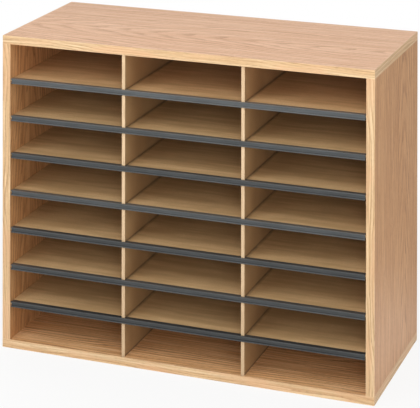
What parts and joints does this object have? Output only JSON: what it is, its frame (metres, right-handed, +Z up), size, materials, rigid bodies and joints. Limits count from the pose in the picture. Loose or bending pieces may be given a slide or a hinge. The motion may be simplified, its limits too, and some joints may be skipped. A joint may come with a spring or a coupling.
{
  "type": "pigeonhole mail sorter",
  "caption": "Open-front oak-laminate pigeonhole mail sorter: a box case round an egg-crate of thin shelves and upright dividers, with a black label holder along each shelf edge.",
  "frame": {"origin": "middle of the footprint, on the surface that the sorter stands on", "axes": "+X to the right as one faces the open front, +Y towards the back, +Z up"},
  "size_m": [0.7366, 0.3048, 0.5969],
  "materials": {
    "oak_laminate": "satin",
    "oak_band": "satin",
    "hardboard": "matte",
    "fibreboard": "matte",
    "black_plastic": "satin",
    "beech": "matte"
  },
  "bodies": {
    "root": {"bottom_panel": "oak_laminate", "top_panel": "oak_laminate", "left_side_panel": "oak_laminate", "right_side_panel": "oak_laminate", "bottom_front_band": "oak_band", "bottom_left_end_band": "oak_band", "bottom_right_end_band": "oak_band", "top_front_band": "oak_band", "top_left_end_band": "oak_band", "top_right_end_band": "oak_band", "left_front_band": "oak_band", "right_front_band": "oak_band", "bottom_left_dowel_1": "beech", "bottom_left_dowel_2": "beech", "bottom_left_dowel_3": "beech", "bottom_right_dowel_1": "beech", "bottom_right_dowel_2": "beech", "bottom_right_dowel_3": "beech", "top_left_dowel_1": "beech", "top_left_dowel_2": "beech", "top_left_dowel_3": "beech", "top_right_dowel_1": "beech", "top_right_dowel_2": "beech", "top_right_dowel_3": "beech", "back_panel": "hardboard", "divider_1": "fibreboard", "divider_2": "fibreboard", "shelf_1": "hardboard", "shelf_2": "hardboard", "shelf_3": "hardboard", "shelf_4": "hardboard", "shelf_5": "hardboard", "shelf_6": "hardboard", "shelf_7": "hardboard", "label_holder_1": "black_plastic", "label_holder_2": "black_plastic", "label_holder_3": "black_plastic", "label_holder_4": "black_plastic", "label_holder_5": "black_plastic", "label_holder_6": "black_plastic", "label_holder_7": "black_plastic"}
  },
  "joints": []
}
